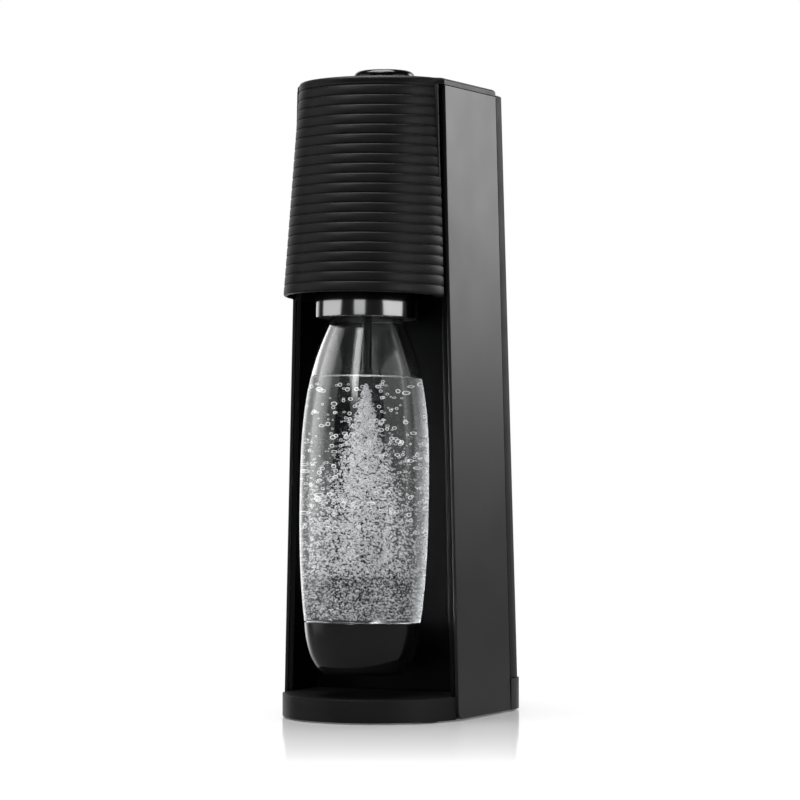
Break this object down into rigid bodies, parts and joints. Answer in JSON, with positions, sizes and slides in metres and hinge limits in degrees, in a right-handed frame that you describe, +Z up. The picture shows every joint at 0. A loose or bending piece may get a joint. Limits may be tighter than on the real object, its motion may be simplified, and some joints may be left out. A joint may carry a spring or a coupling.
{
  "type": "soda carbonator",
  "caption": "Tall free-standing soda carbonator with a tilting bottle holder, a clear bottle, a top push button, a ribbed head and a gas cylinder behind a rear cover.",
  "frame": {"origin": "bottom centre of the bounding box, on the surface the feet stand on", "axes": "+Z up, front of the machine towards -Y, +X across to the right seen from behind the camera"},
  "size_m": [0.1316, 0.1806, 0.4375],
  "materials": {
    "black_plastic": "fine matte texture",
    "dark_panel": "satin",
    "gloss_black": "polished",
    "collar_plastic": "smooth",
    "inner_plastic": "moulded, slightly rough",
    "handle_plastic": "smooth",
    "trim_steel": "bright, brushed round",
    "fastener_steel": "plain zinc plated",
    "brass": "turned",
    "cylinder_metal": "satin",
    "rubber": "soft, matte",
    "clear_bottle": "clear, polished"
  },
  "bodies": {
    "housing": {"base_shell": "black_plastic", "base_plate": "inner_plastic", "base_screw_1": "fastener_steel", "base_screw_2": "fastener_steel", "base_screw_3": "fastener_steel", "base_screw_4": "fastener_steel", "foot_1": "rubber", "foot_2": "rubber", "foot_3": "rubber", "foot_4": "rubber", "column_frame": "black_plastic", "side_panel_left": "dark_panel", "side_panel_right": "dark_panel", "head_cover": "black_plastic", "head_underside": "black_plastic", "top_cap": "black_plastic", "holder_chassis": "inner_plastic", "chassis_screw_1": "fastener_steel", "chassis_screw_2": "fastener_steel", "gas_inlet": "brass", "gas_hose": "rubber", "button_guide": "inner_plastic", "button_spring": "fastener_steel", "cylinder_seat": "inner_plastic", "valve_yoke": "inner_plastic", "lever_pin": "fastener_steel", "manifold_block": "brass", "relief_valve": "brass", "handle_pin_left": "fastener_steel", "handle_pin_right": "fastener_steel"},
    "button": {"carbonating_button": "gloss_black", "button_stem": "inner_plastic"},
    "lever": {"valve_lever": "inner_plastic"},
    "gas_cylinder": {"co2_cylinder": "cylinder_metal", "cylinder_valve": "brass"},
    "valve_pin": {"valve_pin": "fastener_steel"},
    "quick_connect": {"quick_connect_handle": "handle_plastic"},
    "holder": {"bottle_collar": "collar_plastic", "collar_trim_ring": "trim_steel", "neck_seal": "rubber", "nozzle_block": "inner_plastic", "holder_pivot_pin": "fastener_steel", "nozzle_tube": "collar_plastic", "nozzle_tip": "collar_plastic"},
    "bottle": {"bottle_body": "clear_bottle", "bottle_base_cup": "gloss_black"},
    "back": {"rear_cover": "black_plastic"},
    "latch": {"cover_latch": "gloss_black"}
  },
  "joints": [
    {"name": "button_press", "type": "slide", "parent": "housing", "child": "button", "axis": [0, 0, -1], "range_m": [0, 0.008], "stiffness_N_per_m": 400, "springref_m": -0.004, "deforming": ["button_spring"]},
    {"name": "lever_swing", "type": "hinge", "parent": "housing", "child": "lever", "pos_m": [0, 0.05875, 0.38454], "axis": [1, 0, 0], "range_deg": [0, 6.85]},
    {"name": "quick_connect_lift", "type": "hinge", "parent": "housing", "child": "quick_connect", "pos_m": [0, 0.04375, 0.36454], "axis": [1, 0, 0], "range_deg": [0, 75]},
    {"name": "cylinder_drop", "type": "slide", "parent": "housing", "child": "gas_cylinder", "axis": [0, 0, -1], "range_m": [0, 0.003]},
    {"name": "valve_pin_press", "type": "slide", "parent": "gas_cylinder", "child": "valve_pin", "axis": [0, 0, -1], "range_m": [0, 0.0018]},
    {"name": "holder_tilt", "type": "hinge", "parent": "housing", "child": "holder", "pos_m": [0, -0.03325, 0.30504], "axis": [-1, 0, 0], "range_deg": [0, 14]},
    {"name": "bottle_pull", "type": "slide", "parent": "holder", "child": "bottle", "axis": [0, -0.0349, -0.9994], "range_m": [0, 0.011]},
    {"name": "rear_cover_open", "type": "hinge", "parent": "housing", "child": "back", "pos_m": [0, 0.08925, 0.0227], "axis": [-1, 0, 0], "range_deg": [0, 25]},
    {"name": "latch_press", "type": "slide", "parent": "back", "child": "latch", "axis": [0, -1, 0], "range_m": [0, 0.0025], "stiffness_N_per_m": 400, "springref_m": -0.002}
  ],
  "couplings": [
    {"joint": "lever_swing", "follows": "button_press", "rad_per_m": 14.925},
    {"joint": "valve_pin_press", "follows": "button_press", "ratio": 0.22388}
  ]
}
